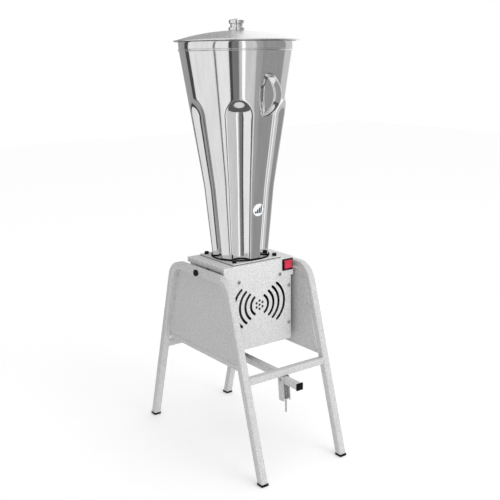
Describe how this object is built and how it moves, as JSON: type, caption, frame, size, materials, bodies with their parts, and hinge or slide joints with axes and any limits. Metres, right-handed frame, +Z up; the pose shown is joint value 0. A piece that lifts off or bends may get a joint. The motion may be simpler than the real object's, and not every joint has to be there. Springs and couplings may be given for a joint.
{
  "type": "tilting floor blender",
  "caption": "Tall fluted steel blender cup with a domed lid on a sheet-metal motor head that tips forward in a splayed square-tube stand with a foot pedal.",
  "frame": {"origin": "on the floor, in the middle between the four feet", "axes": "+Z up along the cup, -Y the front with the switch and the vents, +X the right side seen from the front"},
  "size_m": [0.356, 0.6116, 1.25],
  "materials": {
    "frame_paint": "hammered, semi-gloss",
    "housing_paint": "hammered, semi-gloss",
    "black_plastic": "matt",
    "black_rubber": "matt",
    "zinc": "zinc plated",
    "black_bolt": "blackened steel",
    "cup_steel": "polished",
    "lid_steel": "satin",
    "knob_chrome": "polished",
    "red_plastic": "gloss",
    "label_white": "printed film",
    "bare_steel": "machined",
    "motor_paint": "satin",
    "bell_alloy": "cast",
    "copper_wire": "varnished copper",
    "core_iron": "laminated",
    "capacitor_shell": "matt"
  },
  "bodies": {
    "stand": {"left_side_frame": "frame_paint", "right_side_frame": "frame_paint", "left_side_panel": "frame_paint", "right_side_panel": "frame_paint", "front_crossbar": "frame_paint", "rear_crossbar": "frame_paint", "centre_bar": "frame_paint", "panel_weld_tabs": "frame_paint", "foot_caps": "black_rubber", "pivot_bolts": "black_bolt", "pivot_nuts": "zinc", "pedal_bracket": "frame_paint", "pedal_pin": "zinc", "pedal_spring": "bare_steel"},
    "pedal": {"pedal_arm": "frame_paint", "pedal_end_plug": "black_plastic"},
    "pedal_push_rod": {"pedal_rod": "bare_steel"},
    "switch": {"switch_rocker": "red_plastic"},
    "rotor": {"spindle": "bare_steel", "blade": "cup_steel", "blade_nut": "cup_steel", "shaft_coupling": "bell_alloy", "motor_shaft": "bare_steel", "rotor_core": "core_iron", "cooling_fan": "black_plastic"},
    "lid": {"lid": "lid_steel", "lid_seal": "black_rubber", "lid_knob": "knob_chrome", "knob_screw": "zinc"},
    "head": {"top_pan": "housing_paint", "housing_shell": "housing_paint", "front_cover": "housing_paint", "cover_screws": "zinc", "pivot_bushes": "bare_steel", "pivot_plates": "bare_steel", "switch_bezel": "black_plastic", "cable_gland": "black_plastic", "base_gasket": "black_rubber", "cup_base_plate": "housing_paint", "plate_bolts": "black_bolt", "foot_ring": "black_rubber", "cup": "cup_steel", "cup_rim": "cup_steel", "capacity_label": "label_white", "handle": "cup_steel", "handle_mounts": "cup_steel", "bearing_hub": "bell_alloy", "hub_bearings": "bare_steel", "spindle_seal": "black_rubber", "motor_mount_plate": "zinc", "motor_top_bell": "bell_alloy", "motor_bottom_bell": "bell_alloy", "motor_case": "motor_paint", "motor_bearings": "bare_steel", "stator_core": "core_iron", "stator_windings": "copper_wire", "motor_mount_bolts": "zinc", "start_capacitor": "capacitor_shell", "capacitor_clip": "zinc"}
  },
  "joints": [
    {"name": "head_tilt", "type": "hinge", "parent": "stand", "child": "head", "pos_m": [0, 0, 0.545], "axis": [1, 0, 0], "range_deg": [0, 95]},
    {"name": "motor_spin", "type": "hinge", "parent": "head", "child": "rotor", "pos_m": [0, 0, 0.5], "axis": [0, 0, 1], "continuous": true},
    {"name": "lid_lift", "type": "slide", "parent": "head", "child": "lid", "axis": [0, 0, 1], "range_m": [0, 0.15]},
    {"name": "switch_rock", "type": "hinge", "parent": "head", "child": "switch", "pos_m": [0.1025, -0.093, 0.548], "axis": [1, 0, 0], "range_deg": [-10, 10]},
    {"name": "pedal_press", "type": "hinge", "parent": "stand", "child": "pedal", "pos_m": [-0.0105, -0.218, 0.254], "axis": [1, 0, 0], "range_deg": [0, 18], "stiffness_Nm_per_rad": 2, "springref_deg": -17.19},
    {"name": "rod_travel", "type": "slide", "parent": "stand", "child": "pedal_push_rod", "axis": [0, 0, -1], "range_m": [0, 0.004]}
  ],
  "couplings": [
    {"joint": "rod_travel", "follows": "pedal_press", "m_per_rad": 0.012}
  ]
}
